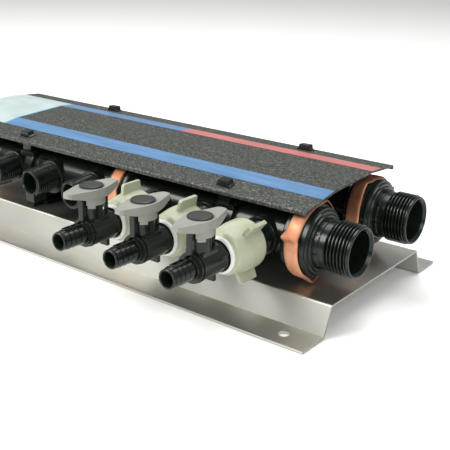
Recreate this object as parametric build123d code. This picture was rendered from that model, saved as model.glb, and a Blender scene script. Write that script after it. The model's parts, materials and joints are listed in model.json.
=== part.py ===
from build123d import *
import os
from math import cos, radians, sin, sqrt, tan

# Frame: X runs along the manifold, the valves face -Y, the bracket stands on Z = 0.
# The origin is the middle of the four mounting holes, on the underside of the flanges.

# Mounting bracket, folded from one sheet
bracket_length = 406.0
bracket_gauge = 1.5
deck_width = 111.5
deck_height = 19.4
web_run = 7.4
flange_width = 23.4
bracket_bend_radius = 1.0
mount_hole_radius = 3.5
mount_hole_from_end = 20.6

# Pipe runs
trunk_half_spacing = 36.4
trunk_radius = 14.2
trunk_bore_radius = 11.4

# Trunk modules and their joints
module_length = 148.0
first_joint_from_end = 28.75
joint_flange_radius = 23.0
joint_flange_depth = 4.5
joint_step_radius = 21.6
joint_step_depth = 3.7
seal_groove_radius = 17.0
seal_section_radius = 1.25
divider_radius = 13.4
divider_depth = 3.0
bend_straight = 1.0

# Threaded ports on the trunks
ports_per_module = 3
port_pitch = 43.25
first_port_from_joint = 27.75
port_collar_radius = 12.6
port_collar_depth = 2.4
port_thread_radius = 10.2
port_thread_length = 20.6
port_bore_radius = 7.4
port_mouth_chamfer = 0.9
port_key_width = 9.0
port_key_height = 4.0
port_key_length = 12.0
module_pad_width = 13.5
module_pad_from_port = 10.0
module_pad_rise = 10.6
module_pad_inset = 0.5

# Inlet adapters at the right-hand end
adapter_thread_radius = 16.7
adapter_thread_length = 16.5
adapter_lead_length = 3.2
adapter_lead_radius = 15.8
adapter_bore_radius = 13.2
adapter_mouth_radius = 15.0
adapter_neck_radius = 15.6
adapter_neck_length = 7.0
adapter_lug_count = 6
adapter_lug_width = 8.0
adapter_lug_height = 0.7
adapter_lug_setback = 1.5
adapter_thread_chamfer = 0.8

# Crimped bands over the joints
band_width = 9.5
band_gauge = 1.0
band_ear_height = 5.6
band_pinch_height = 2.0
band_ear_width = 6.4
band_ear_taper = 0.5
band_deck_gap = 2.5

# Cover sheet, folded twice and turned down along its long edges
cover_from_end = 22.0
cover_gauge = 1.6
cover_above_bands = 6.3
cover_fold_half_width = 22.75
cover_half_width = 54.4
cover_slope = 6.9
cover_roll = 2.46
cover_lip_drop = 1.4
stripe_width = 13.8
film_gauge = 0.25
film_gap_from_fold = 0.6
label_length = 66.0
stripe_split = 17.0

# Support saddles and the hooks that hold the cover
saddle_band_width = 8.0
saddle_band_from_port = 17.0
saddle_wall = 3.0
saddle_foot_height = 3.0
saddle_foot_width = 16.0
saddle_boss_width = 9.0
saddle_bridge_height = 3.6
saddle_foot_angle = 28.0
hook_from_port = 12.0
hook_half_spacing = 46.5
hook_width = 9.0
hook_depth = 3.5
hook_head_height = 4.0
hook_barb = 1.2
post_shoulder_gauge = 2.0
post_base_width = 14.5
post_base_depth = 7.0
screw_radius = 2.0
screw_head_radius = 3.5
screw_head_height = 2.4
screw_head_rounding = 0.9
base_screw_half_spacing = 25.0

# Valves
stem_from_trunk = 73.2
ball_radius = 6.0
ball_bore_radius = 4.2
seat_length = 4.3
seat_overlap = 0.4
seat_bore_gap = 0.2
chamber_radius = 7.05
retainer_wall = 1.6
barrel_radius = 9.3
barrel_flat_radius = 8.8
barrel_sides = 8
barrel_front_length = 5.2
barrel_groove_radius = 8.4
collar_radius = 9.5
collar_second_radius = 9.1
collar_ring = 1.4
collar_groove = 0.7
collar_neck_radius = 7.7
collar_neck_length = 2.2
barb_root_radius = 5.8
barb_tip_radius = 6.6
barb_length = 17.8
barb_teeth = 4
barb_bore_radius = 4.16
barb_plain = 1.0
barb_step = 0.2
barb_ramp = 0.75
barb_tip_chamfer = 0.6
barb_rib_width = 3.6
barb_rib_rise = 0.6
tail_flange_radius = 10.0
tail_flange_depth = 2.0
tail_neck_radius = 8.1
washer_gauge = 1.6
bonnet_radius = 6.6
bonnet_height = 20.3
bonnet_block_height = 9.3
bonnet_block_depth = 8.4
stop_post_width = 4.2
stop_post_depth = 4.5
stop_post_height = 21.2
stop_post_overlap = 1.3
tie_post_width = 2.4
tie_post_depth = 2.0
tie_post_from_stem = 11.6
tie_post_height = 20.0
body_lug_width = 6.7
body_lug_depth = 2.6
body_lug_drop = 13.0
body_lug_from_stem = 9.5

# Stems, handles and caps
stem_radius = 3.0
stem_shoulder_radius = 4.2
stem_shoulder_depth = 1.4
stem_square = 4.2
stem_top_gap = 0.2
tang_width = 2.4
tang_length = 5.2
tang_depth = 1.2
stem_seal_height = 13.0
stem_seal_width = 1.7
stem_seal_depth = 0.8
handle_gap = 2.1
handle_gauge = 6.0
handle_tip_gauge = 2.8
handle_tip_gap = 0.7
handle_tip_width = 7.2
handle_middle_width = 17.5
handle_middle_length = 9.0
handle_tip_chamfer = 1.6
handle_edge_chamfer = 0.6
handle_boss_wall = 1.5
handle_boss_gap = 0.5
skirt_radius = 8.2
skirt_wall = 1.2
skirt_start = -68.0
skirt_end = 158.0
skirt_drop = 4.4
tab_start = -62.0
tab_end = -28.0
tab_drop = 6.3
cap_radius = 7.6
cap_gauge = 2.4
cap_recess = 1.1
cap_rounding = 0.8

# Swivel nuts
nut_length = 28.5
nut_thread_depth = 11.3
nut_web = 2.0
nut_skirt_gap = 0.35
nut_lip_radius = 11.7
nut_lip_depth = 1.9
nut_lip_rounding = 1.2
nut_trough_radius = 11.2
nut_trough_depth = 0.8
nut_front_radius = 13.6
nut_shoulder_depth = 2.2
nut_rear_radius = 15.8
nut_taper_length = 13.6
nut_rounding = 0.9
wing_count = 3
wing_gauge = 2.6
wing_tip_radius = 22.0
wing_length = 15.5
wing_slant = 1.7
wing_chamfer = 1.0

# Clearances
running_clearance = 0.06
fit_clearance = 0.05
thread_clearance = 0.25
seat_clearance = 0.04
open_clearance = 0.35
cut_overrun = 1.0

# Places worked out from the sizes above
half_length = bracket_length / 2
cover_length = bracket_length - 2 * cover_from_end
axis_height = deck_height + joint_flange_radius + band_gauge + band_pinch_height + band_deck_gap
cover_top_height = axis_height + joint_flange_radius + band_gauge + cover_above_bands
joint_x = [half_length - first_joint_from_end - i * module_length for i in range(3)]
port_face = trunk_half_spacing + trunk_radius + port_collar_depth + port_thread_length
stem_y = -(trunk_half_spacing + stem_from_trunk)
handle_length = port_pitch - handle_tip_gap
wing_angles = [95.0, 80.0, 50.0]
band_ear_angles = {"front": [163.0, -18.0, -22.0], "back": [22.0, 198.0, 202.0]}


def port_places(module):
    """X of each port on a module, from its right-hand joint leftwards."""
    first = joint_x[module] - first_port_from_joint
    return [first - i * port_pitch for i in range(ports_per_module)]


valve_x = list(reversed(port_places(0)))
saddle_port_x = [port_places(0)[1], port_places(1)[2]]


def turned_x(points):
    """Solid turned about the X axis from (x, radius) points."""
    return revolve(make_face(Polyline(*points, close=True)), Axis.X)


def turned_y(points):
    """Solid turned about the Y axis from (radius, y) points."""
    return revolve(make_face(Polyline(*points, close=True)), Axis.Y)


def rod_x(radius, x0, x1, y=0.0, z=0.0):
    """Cylinder along X between two stations."""
    return Pos((x0 + x1) / 2, y, z) * Rot(0, 90, 0) * Cylinder(radius, abs(x1 - x0))


def rod_y(radius, y0, y1, x=0.0, z=0.0):
    """Cylinder along Y between two stations."""
    return Pos(x, (y0 + y1) / 2, z) * Rot(90, 0, 0) * Cylinder(radius, abs(y1 - y0))


def rod_z(radius, z0, z1, x=0.0, y=0.0):
    """Cylinder along Z between two stations."""
    return Pos(x, y, (z0 + z1) / 2) * Cylinder(radius, abs(z1 - z0))


def block(x0, x1, y0, y1, z0, z1):
    """Rectangular block between its six faces."""
    place = Pos((x0 + x1) / 2, (y0 + y1) / 2, (z0 + z1) / 2)
    return place * Box(abs(x1 - x0), abs(y1 - y0), abs(z1 - z0))


def along_x(section, x0, x1):
    """Section drawn in (y, z), drawn out along X between two stations."""
    return Pos(x0, 0, 0) * extrude(Plane.YZ * section, x1 - x0)


def sector(radius, start, end):
    """Flat pie slice between two angles, drawn in (x, y)."""
    steps = 6
    angles = [radians(start + (end - start) * i / steps) for i in range(steps + 1)]
    reach = radius / cos(radians((end - start) / steps / 2))
    rim = [(reach * cos(a), reach * sin(a)) for a in angles]
    return make_face(Polyline((0, 0), *rim, close=True))


def base_bracket():
    """Hat-section bracket with two flanges and four mounting holes."""
    half_gauge = bracket_gauge / 2
    half_deck = deck_width / 2
    foot = half_deck + web_run
    middle_radius = bracket_bend_radius + half_gauge
    path = FilletPolyline(
        (-(foot + flange_width), half_gauge),
        (-foot, half_gauge),
        (-half_deck, deck_height - half_gauge),
        (half_deck, deck_height - half_gauge),
        (foot, half_gauge),
        (foot + flange_width, half_gauge),
        radius=middle_radius,
    )
    sheet = along_x(trace(path, bracket_gauge), -half_length, half_length)
    hole_x = half_length - mount_hole_from_end
    hole_y = foot + flange_width / 2
    for x in (-hole_x, hole_x):
        for y in (-hole_y, hole_y):
            sheet -= rod_z(mount_hole_radius, -bracket_gauge, 2 * bracket_gauge, x, y)
    for port_x in saddle_port_x:
        for y in (-base_screw_half_spacing, base_screw_half_spacing):
            hole = screw_radius + open_clearance
            x = port_x + saddle_band_from_port
            sheet -= rod_z(hole, deck_height - 2 * bracket_gauge, deck_height + bracket_gauge, x, y)
    return sheet


def cover_surface(y):
    """Height of the cover's upper face above its own middle, at a distance y from it."""
    slope = tan(radians(cover_slope))
    return -max(0.0, abs(y) - cover_fold_half_width) * slope


def cover_frame():
    """Frame of the cover's section: its middle line, rolled as it sits on the hooks."""
    return Pos(0, 0, cover_top_height) * Rot(cover_roll, 0, 0)


def sheet_section(stations, low, high):
    """Closed (y, z) section between two heights above the cover's upper face."""
    upper = [(y, cover_surface(y) + high) for y in stations]
    lower = [(y, cover_surface(y) + low) for y in reversed(stations)]
    return make_face(Polyline(*upper, *lower, close=True))


def hook_frame(side):
    """Frame on the cover's upper face where a hook comes through."""
    y = side * hook_half_spacing
    lean = -side * cover_slope
    return cover_frame() * Pos(0, y, cover_surface(y)) * Rot(lean, 0, 0)


def cover_sheet():
    """Folded cover with a turned-down lip on each long edge and four hook slots."""
    folds = [-cover_half_width, -cover_fold_half_width, cover_fold_half_width, cover_half_width]
    half = cover_length / 2
    sheet = along_x(sheet_section(folds, -cover_gauge, 0.0), -half, half)
    edge_height = cover_surface(cover_half_width)
    for side in (-1, 1):
        inner = side * (cover_half_width - cover_gauge)
        outer = side * cover_half_width
        lip_foot = edge_height - cover_gauge - cover_lip_drop
        lip = make_face(Polyline(
            (inner, edge_height - cover_gauge / 2),
            (outer, edge_height - cover_gauge / 2),
            (outer, lip_foot),
            (inner, lip_foot),
            close=True,
        ))
        sheet += along_x(lip, -half, half)
    sheet = cover_frame() * sheet
    for port_x in saddle_port_x:
        for side in (-1, 1):
            slot = Box(
                hook_width + 2 * open_clearance,
                hook_depth + 2 * open_clearance,
                4 * cover_gauge,
            )
            sheet -= Pos(port_x + hook_from_port, 0, 0) * hook_frame(side) * slot
    return sheet


def stripe(side, x0, x1):
    """Colour stripe: a film on the sloping side panel, next to the fold."""
    near = side * (cover_fold_half_width + film_gap_from_fold)
    far = side * (cover_fold_half_width + stripe_width)
    film = sheet_section(sorted((near, far)), 0.0, film_gauge)
    return cover_frame() * along_x(film, x0, x1)


def label_film():
    """Bare label film that wraps over both folds at the left-hand end."""
    reach = cover_fold_half_width + stripe_width
    folds = [-reach, -cover_fold_half_width, cover_fold_half_width, reach]
    left = -cover_length / 2
    return cover_frame() * along_x(sheet_section(folds, 0.0, film_gauge), left, left + label_length)


def half_ring_section(side, radius):
    """Disc of a given radius about one pipe's axis, drawn in (y, z)."""
    return Pos(side * trunk_half_spacing, axis_height) * Circle(radius)


def saddle():
    """Lower saddle: foot on the deck, two cradles and a middle screw boss, at X = 0."""
    half_band = saddle_band_width / 2
    outer = trunk_half_spacing + trunk_radius + saddle_wall
    seat = trunk_radius + fit_clearance
    body = block(-half_band, half_band, -outer, outer, deck_height, axis_height)
    inner = trunk_half_spacing - trunk_radius - saddle_wall
    half_boss = saddle_boss_width / 2
    foot_top = deck_height + saddle_foot_height
    for side in (-1, 1):
        body -= along_x(half_ring_section(side, seat), -half_band, half_band)
        body -= block(-half_band, half_band, side * half_boss, side * inner, foot_top, axis_height)
        corner_y = side * (outer + half_band)
        chamfer = Pos(0, corner_y, deck_height) * Rot(side * saddle_foot_angle, 0, 0)
        body -= chamfer * Box(2 * saddle_band_width, 2 * half_band, 2 * saddle_foot_width)
    foot = trunk_half_spacing + trunk_radius / 2
    half_foot = saddle_foot_width / 2
    body += block(-half_foot, half_foot, -foot, foot, deck_height, foot_top)
    pilot = screw_radius - running_clearance
    body -= rod_z(pilot, axis_height - saddle_foot_width, axis_height)
    for y in (-base_screw_half_spacing, base_screw_half_spacing):
        body -= rod_z(pilot, deck_height, axis_height - trunk_radius - saddle_wall, 0, y)
    return body


def saddle_clamp(port_x):
    """Upper clamp: two half rings, a middle bridge, and posts with hooks for the cover."""
    band_x = port_x + saddle_band_from_port
    x0 = band_x - saddle_band_width / 2
    x1 = band_x + saddle_band_width / 2
    outer = trunk_radius + saddle_wall
    seat = trunk_radius + fit_clearance
    low = axis_height
    keep = block(x0, x1, -2 * outer - trunk_half_spacing, 2 * outer + trunk_half_spacing, low, 2 * low)
    clamp = block(x0, x1, -trunk_half_spacing, trunk_half_spacing, low, low + saddle_bridge_height)
    for side in (-1, 1):
        clamp += along_x(half_ring_section(side, outer), x0, x1) & keep
    hook_x = port_x + hook_from_port
    base_left = x1 - post_base_width
    for side in (-1, 1):
        post_y = side * hook_half_spacing
        y0 = post_y - post_base_depth / 2
        y1 = post_y + post_base_depth / 2
        crown = axis_height + sqrt(outer ** 2 - (hook_half_spacing - trunk_half_spacing) ** 2)
        clamp += block(base_left, x1, y0, y1, axis_height + trunk_radius / 2, crown)
        under_cover = hook_frame(side) * Pos(0, 0, -cover_gauge - post_shoulder_gauge / 2)
        shoulder = Pos(hook_x, 0, 0) * under_cover * Box(
            hook_width + 2 * post_shoulder_gauge,
            2 * hook_depth,
            post_shoulder_gauge,
        )
        shoulder_top = under_cover.position.Z
        post = block(
            hook_x - hook_width / 2,
            hook_x + hook_width / 2,
            post_y - hook_depth / 2,
            post_y + hook_depth / 2,
            crown - saddle_wall,
            shoulder_top,
        )
        neck_height = cover_gauge + post_shoulder_gauge / 2 + fit_clearance
        neck = Pos(hook_x, 0, 0) * hook_frame(side) * Pos(0, 0, fit_clearance - neck_height / 2) * Box(
            hook_width,
            hook_depth,
            neck_height,
        )
        clamp += [post, shoulder, neck, hook_head(side, hook_x)]
    for side in (-1, 1):
        clamp -= along_x(half_ring_section(side, seat), base_left - cut_overrun, x1 + cut_overrun)
    for face in (-1, 1):
        mouth = face * port_face
        room = port_collar_radius + open_clearance
        clamp -= rod_y(room, face * trunk_half_spacing, mouth, port_x, axis_height)
    clamp -= rod_z(screw_radius + open_clearance, low, low + 2 * saddle_bridge_height, band_x, 0)
    return clamp


def hook_head(side, hook_x):
    """Snap head above the cover: a wedge that is wider at its foot."""
    half = hook_width / 2
    section = make_face(Polyline(
        (-half - hook_barb, 0),
        (half + hook_barb, 0),
        (half + hook_barb, hook_barb / 2),
        (half, hook_barb),
        (half - hook_barb / 2, hook_head_height),
        (-half + hook_barb / 2, hook_head_height),
        (-half, hook_barb),
        (-half - hook_barb, hook_barb / 2),
        close=True,
    ))
    depth = hook_depth + 2 * hook_barb
    head = extrude(Plane.XZ * section, depth / 2, both=True)
    return Pos(hook_x, 0, 0) * hook_frame(side) * Pos(0, 0, fit_clearance) * head


def pan_screw(length, up=True):
    """Pan-head screw along Z, with its seat face at Z = 0 and its shank below it."""
    screw = rod_z(screw_radius - 2 * running_clearance, -length, 0)
    head = Pos(0, 0, screw_head_height / 2) * Cylinder(screw_head_radius, screw_head_height)
    head = fillet(head.faces().sort_by(Axis.Z)[-1].edges(), screw_head_rounding)
    head -= Pos(0, 0, screw_head_height) * Box(2 * screw_radius, screw_radius / 2, screw_head_height)
    screw += head
    return screw if up else Rot(180, 0, 0) * screw


def saddle_screws():
    """The screws of both saddles: one through each clamp, two from under the deck."""
    screws = []
    clamp_length = saddle_bridge_height + saddle_foot_width / 2
    base_length = bracket_gauge + 2 * saddle_foot_height
    for port_x in saddle_port_x:
        x = port_x + saddle_band_from_port
        screws.append(Pos(x, 0, axis_height + saddle_bridge_height) * pan_screw(clamp_length))
        for y in (-base_screw_half_spacing, base_screw_half_spacing):
            screws.append(Pos(x, y, deck_height - bracket_gauge) * pan_screw(base_length, up=False))
    return Compound(children=screws)


def joint_end(x, out):
    """(x, radius) outline of a joint flange, from the joint face at x towards its pipe."""
    return [
        (x, joint_flange_radius),
        (x + out * joint_flange_depth, joint_flange_radius),
        (x + out * joint_flange_depth, joint_step_radius),
        (x + out * (joint_flange_depth + joint_step_depth), joint_step_radius),
    ]


def joint_seats(x):
    """What is cut out at a joint: the seal's groove and the divider's seat."""
    half = seal_section_radius
    groove = rod_x(seal_groove_radius + half, x - half, x + half)
    groove -= rod_x(seal_groove_radius - half, x - half, x + half)
    depth = divider_depth / 2 + fit_clearance
    seat = rod_x(divider_radius + fit_clearance, x - depth, x + depth)
    return groove + seat


def trunk_module(module, face, keyed=False):
    """Moulded pipe with a flange at each end and three threaded ports facing -Y or +Y."""
    x1 = joint_x[module]
    x0 = x1 - module_length
    root = joint_flange_depth + joint_step_depth
    fair = (joint_step_radius - trunk_radius) / 2
    pipe = turned_x([
        (x1, 0),
        *joint_end(x1, -1),
        (x1 - root - fair, trunk_radius),
        (x0 + root + fair, trunk_radius),
        *reversed(joint_end(x0, 1)),
        (x0, 0),
    ])
    collar_face = trunk_radius + port_collar_depth
    mouth = collar_face + port_thread_length
    for x in port_places(module):
        port = rod_y(port_thread_radius, 0, face * mouth, x)
        port = chamfer(port.faces().sort_by(Axis.Y)[0 if face < 0 else -1].edges(), port_mouth_chamfer)
        pipe += port
        pipe += rod_y(port_collar_radius, face * (trunk_radius - saddle_wall), face * collar_face, x)
    middle = port_places(module)[1]
    pad_x = middle - module_pad_from_port
    pad_half = module_pad_width / 2
    pad_reach = face * (trunk_radius - module_pad_inset)
    pipe += block(pad_x - pad_half, pad_x + pad_half, 0, pad_reach, 0, module_pad_rise)
    if keyed:
        key_half = port_key_width / 2
        key_low = port_thread_radius + port_key_height
        key_root = face * (mouth - port_key_length)
        pipe += block(middle - key_half, middle + key_half, key_root, face * mouth, -key_low, 0)
    pipe -= rod_x(trunk_bore_radius, x0, x1)
    for x in port_places(module):
        pipe -= rod_y(port_bore_radius, 0, face * mouth, x)
    pipe -= joint_seats(x0)
    pipe -= joint_seats(x1)
    return Pos(0, face * trunk_half_spacing, axis_height) * pipe


def inlet_adapter(face):
    """Threaded inlet: joint flange, lugged neck, thread and a plain lead-in."""
    x0 = joint_x[0]
    neck = x0 + joint_flange_depth + joint_step_depth
    thread = neck + adapter_neck_length
    lead = thread + adapter_thread_length
    mouth = lead + adapter_lead_length
    lip = adapter_lead_radius - adapter_mouth_radius
    edge = adapter_thread_chamfer
    body = turned_x([
        (x0, 0),
        *joint_end(x0, 1),
        (neck + joint_step_depth, adapter_neck_radius),
        (thread, adapter_neck_radius),
        (thread, adapter_thread_radius - edge),
        (thread + edge, adapter_thread_radius),
        (lead - edge, adapter_thread_radius),
        (lead, adapter_lead_radius),
        (mouth - lip / 2, adapter_lead_radius),
        (mouth, adapter_lead_radius - lip / 2),
        (mouth, 0),
    ])
    reach = adapter_neck_radius + adapter_lug_height
    for i in range(adapter_lug_count):
        lug = block(
            neck,
            thread - adapter_lug_setback,
            -adapter_lug_width / 2,
            adapter_lug_width / 2,
            adapter_neck_radius / 2,
            reach,
        )
        body += Rot(360 / adapter_lug_count * (i + 0.5), 0, 0) * lug
    body -= turned_x([
        (x0, 0),
        (x0, trunk_bore_radius),
        (neck, adapter_bore_radius),
        (mouth - 2 * lip, adapter_bore_radius),
        (mouth, adapter_mouth_radius),
        (mouth, 0),
    ])
    body -= joint_seats(x0)
    return Pos(0, face * trunk_half_spacing, axis_height) * body


def return_bend():
    """Moulded U-bend that joins the two pipe runs at the left-hand end."""
    x0 = joint_x[2]
    root = joint_flange_depth + joint_step_depth
    start = x0 - root - bend_straight
    path = CenterArc((start, 0), trunk_half_spacing, 90, 180)
    outer = sweep(Plane(origin=path @ 0, z_dir=path % 0) * Circle(trunk_radius), path)
    inner = sweep(Plane(origin=path @ 0, z_dir=path % 0) * Circle(trunk_bore_radius), path)
    ends = []
    bores = [inner]
    for side in (-1, 1):
        flange = turned_x([
            (x0, 0),
            *joint_end(x0, -1),
            (x0 - root, trunk_radius),
            (start, trunk_radius),
            (start, 0),
        ])
        ends.append(Pos(0, side * trunk_half_spacing, 0) * flange)
        bores.append(Pos(0, side * trunk_half_spacing, 0) * rod_x(trunk_bore_radius, start, x0))
        bores.append(Pos(0, side * trunk_half_spacing, 0) * joint_seats(x0))
    bend = outer + ends
    bend -= bores
    return Pos(0, 0, axis_height) * bend


def ear_outline(angle, root_radius, tip_radius, root_width, tip_width):
    """Trapezium that points outwards at an angle, drawn in (y, z)."""
    half_root = root_width / 2
    half_tip = tip_width / 2
    ear = make_face(Polyline(
        (root_radius, -half_root),
        (tip_radius, -half_tip),
        (tip_radius, half_tip),
        (root_radius, half_root),
        close=True,
    ))
    return Rot(0, 0, angle) * ear


def crimp_band(joint, face):
    """Sheet band round a joint, pinched outwards into one tall ear and three small ones."""
    inner_radius = joint_flange_radius + fit_clearance
    outer_radius = inner_radius + band_gauge
    outer = Circle(outer_radius)
    inner = Circle(inner_radius)
    main = band_ear_angles["front" if face < 0 else "back"][joint]
    root_radius = inner_radius - band_gauge / 2
    wide = band_ear_width
    tip = band_ear_width * band_ear_taper
    walls = 2 * band_gauge
    for i in range(4):
        height = band_ear_height if i == 0 else band_pinch_height
        angle = main + 90 * i
        outer += ear_outline(angle, root_radius, outer_radius + height, wide, tip)
        inner += ear_outline(angle, root_radius, inner_radius + height, wide - walls, tip - walls)
    half = band_width / 2
    band = along_x(outer - inner, joint_x[joint] - half, joint_x[joint] + half)
    return Pos(0, face * trunk_half_spacing, axis_height) * band


def joint_seals():
    """The rubber rings of the six joints."""
    rings = []
    for x in joint_x:
        for face in (-1, 1):
            ring = Rot(0, 90, 0) * Torus(seal_groove_radius, seal_section_radius - fit_clearance / 2)
            rings.append(Pos(x, face * trunk_half_spacing, axis_height) * ring)
    return Compound(children=rings)


def divider_plug():
    """Disc that closes the back run between its hot and its cold half."""
    half = divider_depth / 2
    plug = rod_x(divider_radius, joint_x[1] - half, joint_x[1] + half)
    return Pos(0, trunk_half_spacing, axis_height) * plug


# Valve pieces are drawn about the ball's centre, with the outlet towards -Y
tail_face = -port_face - washer_gauge - stem_y
nut_rear = tail_face - tail_flange_depth + nut_thread_depth
seat_far = sqrt(ball_radius ** 2 - barb_bore_radius ** 2) - seat_overlap
chamber_front = seat_far + seat_length - seat_overlap
collar_end = -barrel_front_length - 2 * collar_ring - collar_groove
barb_start = collar_end - collar_neck_length
barb_end = barb_start - barb_length
stem_top = bonnet_height + handle_gap + handle_gauge - cap_recess - stem_top_gap


def barb_points():
    """Sawtooth outline of the hose barb, from its root to its tip."""
    points = [(barb_root_radius, barb_start)]
    pitch = (barb_length - 2 * barb_plain) / barb_teeth
    for i in range(barb_teeth):
        crest = barb_start - barb_plain - i * pitch
        points.append((barb_root_radius, crest + barb_step))
        points.append((barb_tip_radius, crest))
        points.append((barb_root_radius, crest - barb_ramp * pitch))
    return points + [(barb_root_radius, barb_end + barb_tip_chamfer)]


def valve_body():
    """Valve body: tailpiece, flatted barrel, bonnet, stop posts, collar and hose barb."""
    neck_rear = tail_face - tail_flange_depth
    barrel_rear = neck_rear - nut_web - 2 * fit_clearance
    ring = collar_ring
    body = turned_y([
        (0, tail_face),
        (tail_flange_radius, tail_face),
        (tail_flange_radius, neck_rear),
        (tail_neck_radius, neck_rear),
        (tail_neck_radius, barrel_rear),
        (barrel_groove_radius, barrel_rear),
        (barrel_radius, bonnet_block_depth),
        (barrel_radius, -barrel_front_length),
        (collar_radius, -barrel_front_length),
        (collar_radius, -barrel_front_length - ring),
        (barrel_groove_radius, -barrel_front_length - ring),
        (barrel_groove_radius, -barrel_front_length - ring - collar_groove),
        (collar_second_radius, -barrel_front_length - ring - collar_groove),
        (collar_second_radius, collar_end),
        (collar_neck_radius, collar_end),
        (collar_neck_radius, barb_start),
        *barb_points(),
        (barb_root_radius - barb_tip_chamfer, barb_end),
        (0, barb_end),
    ])
    flats = Pos(0, (bonnet_block_depth + barrel_rear) / 2, 0) * Rot(90, 0, 0) * extrude(
        Rot(0, 0, 180 / barrel_sides) * RegularPolygon(barrel_flat_radius, barrel_sides, major_radius=False),
        (barrel_rear - bonnet_block_depth) / 2,
        both=True,
    )
    body += flats
    body += rod_z(bonnet_radius, 0, bonnet_height)
    half_block = bonnet_radius
    body += block(-half_block, half_block, -barrel_front_length, bonnet_block_depth, 0, bonnet_block_height)
    post_inner = stop_post_overlap - bonnet_radius
    half_post = stop_post_width / 2
    post_outer = post_inner - stop_post_depth
    body += block(-half_post, half_post, post_outer, post_inner, barb_root_radius, stop_post_height)
    half_tie = tie_post_width / 2
    tie_y = tie_post_from_stem
    half_tie_depth = tie_post_depth / 2
    body += block(-half_tie, half_tie, tie_y - half_tie_depth, tie_y + half_tie_depth, 0, tie_post_height)
    half_lug = body_lug_width / 2
    lug_y = body_lug_from_stem
    half_lug_depth = body_lug_depth / 2
    body += block(-half_lug, half_lug, lug_y - half_lug_depth, lug_y + half_lug_depth, -body_lug_drop, 0)
    half_rib = barb_rib_width / 2
    rib_end = barb_end + barb_length / 4
    body += block(-half_rib, half_rib, rib_end, collar_end, 0, barb_tip_radius + barb_rib_rise)
    body -= rod_y(barb_bore_radius, barb_end, 0)
    body -= rod_y(chamber_radius, -chamber_front, tail_face)
    body -= rod_z(stem_radius + running_clearance, 0, bonnet_height)
    counterbore = stem_shoulder_radius + running_clearance
    body -= rod_z(counterbore, 0, bonnet_block_height)
    return body


def valve_ball():
    """Drilled ball with a slot for the stem's tang."""
    ball = Sphere(ball_radius)
    ball -= rod_y(ball_bore_radius, -ball_radius, ball_radius)
    slot = ball_radius - tang_depth
    half = tang_width / 2 + fit_clearance
    ball -= block(-half, half, -ball_radius, ball_radius, slot, ball_radius)
    return ball


def valve_stem():
    """Stem with a tang, a shoulder, a seal groove and a square top."""
    shoulder_top = bonnet_block_height - fit_clearance
    shoulder_low = shoulder_top - stem_shoulder_depth
    stem = rod_z(stem_radius, ball_radius + fit_clearance, bonnet_height)
    stem += rod_z(stem_shoulder_radius, shoulder_low, shoulder_top)
    tang_low = ball_radius - tang_depth + fit_clearance
    half_tang = tang_width / 2
    half_long = tang_length / 2
    stem += block(-half_tang, half_tang, -half_long, half_long, tang_low, ball_radius + fit_clearance)
    half_square = stem_square / 2
    stem += block(-half_square, half_square, -half_square, half_square, bonnet_height, stem_top)
    half_seal = stem_seal_width / 2
    groove = rod_z(2 * stem_radius, stem_seal_height - half_seal, stem_seal_height + half_seal)
    groove -= rod_z(stem_radius - stem_seal_depth, stem_seal_height - half_seal, stem_seal_height + half_seal)
    return stem - groove


def stem_seal():
    """Rubber ring in the stem's groove."""
    half = stem_seal_width / 2 - fit_clearance / 2
    ring = rod_z(stem_radius, stem_seal_height - half, stem_seal_height + half)
    return ring - rod_z(stem_radius - stem_seal_depth, stem_seal_height - half, stem_seal_height + half)


def ball_seat(side):
    """Seat ring on one side of the ball, hollowed to the ball."""
    near = seat_far - seat_overlap
    ring = rod_y(chamber_radius - fit_clearance, side * near, side * chamber_front)
    ring -= rod_y(ball_bore_radius + seat_bore_gap, 0, side * chamber_front)
    return ring - Sphere(ball_radius + seat_clearance)


def seat_retainer():
    """Sleeve that holds the inlet seat against the ball."""
    outer = chamber_radius - fit_clearance
    sleeve = rod_y(outer, chamber_front, tail_face)
    return sleeve - rod_y(outer - retainer_wall, chamber_front, tail_face)


def nut_washer():
    """Flat washer between the port's mouth and the valve's tailpiece."""
    ring = rod_y(tail_flange_radius, tail_face, tail_face + washer_gauge)
    return ring - rod_y(port_bore_radius, tail_face, tail_face + washer_gauge)


def swivel_nut(wing_angle):
    """Swivel nut: thread bore, web, tapered skirt with a lip round the barrel, three wings."""
    web_rear = tail_face - tail_flange_depth
    web_front = web_rear - nut_web
    bore = port_thread_radius + thread_clearance
    hole = tail_neck_radius + thread_clearance
    skirt = barrel_flat_radius / cos(radians(180 / barrel_sides)) + nut_skirt_gap
    front = nut_rear - nut_length
    lip_rear = front + nut_lip_depth
    shoulder = lip_rear + nut_trough_depth
    taper = shoulder + nut_shoulder_depth
    soft = nut_rounding
    nut = turned_y([
        (hole, web_front),
        (skirt, web_front),
        (skirt, front),
        (nut_lip_radius - nut_lip_rounding, front),
        (nut_lip_radius, front + nut_lip_rounding),
        (nut_lip_radius, lip_rear),
        (nut_trough_radius, shoulder),
        ((nut_trough_radius + nut_front_radius) / 2 + soft / 2, shoulder + soft),
        (nut_front_radius, taper),
        (nut_rear_radius, taper + nut_taper_length),
        (nut_rear_radius, nut_rear - 2 * soft),
        (nut_rear_radius - soft / 2, nut_rear - soft / 2),
        (nut_rear_radius - 2 * soft, nut_rear),
        (bore, nut_rear),
        (bore, web_rear),
        (hole, web_rear),
    ])
    half = wing_gauge / 2
    tip = nut_rear - wing_length
    root = (bore + nut_front_radius) / 2
    profile = make_face(Polyline(
        (root, tip - wing_slant),
        (wing_tip_radius - wing_chamfer, tip),
        (wing_tip_radius, tip + wing_chamfer),
        (wing_tip_radius, nut_rear),
        (root, nut_rear),
        close=True,
    ))
    wing = extrude(profile, half, both=True)
    for i in range(wing_count):
        nut += Rot(0, -wing_angle - 360 / wing_count * i, 0) * wing
    return nut


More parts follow.
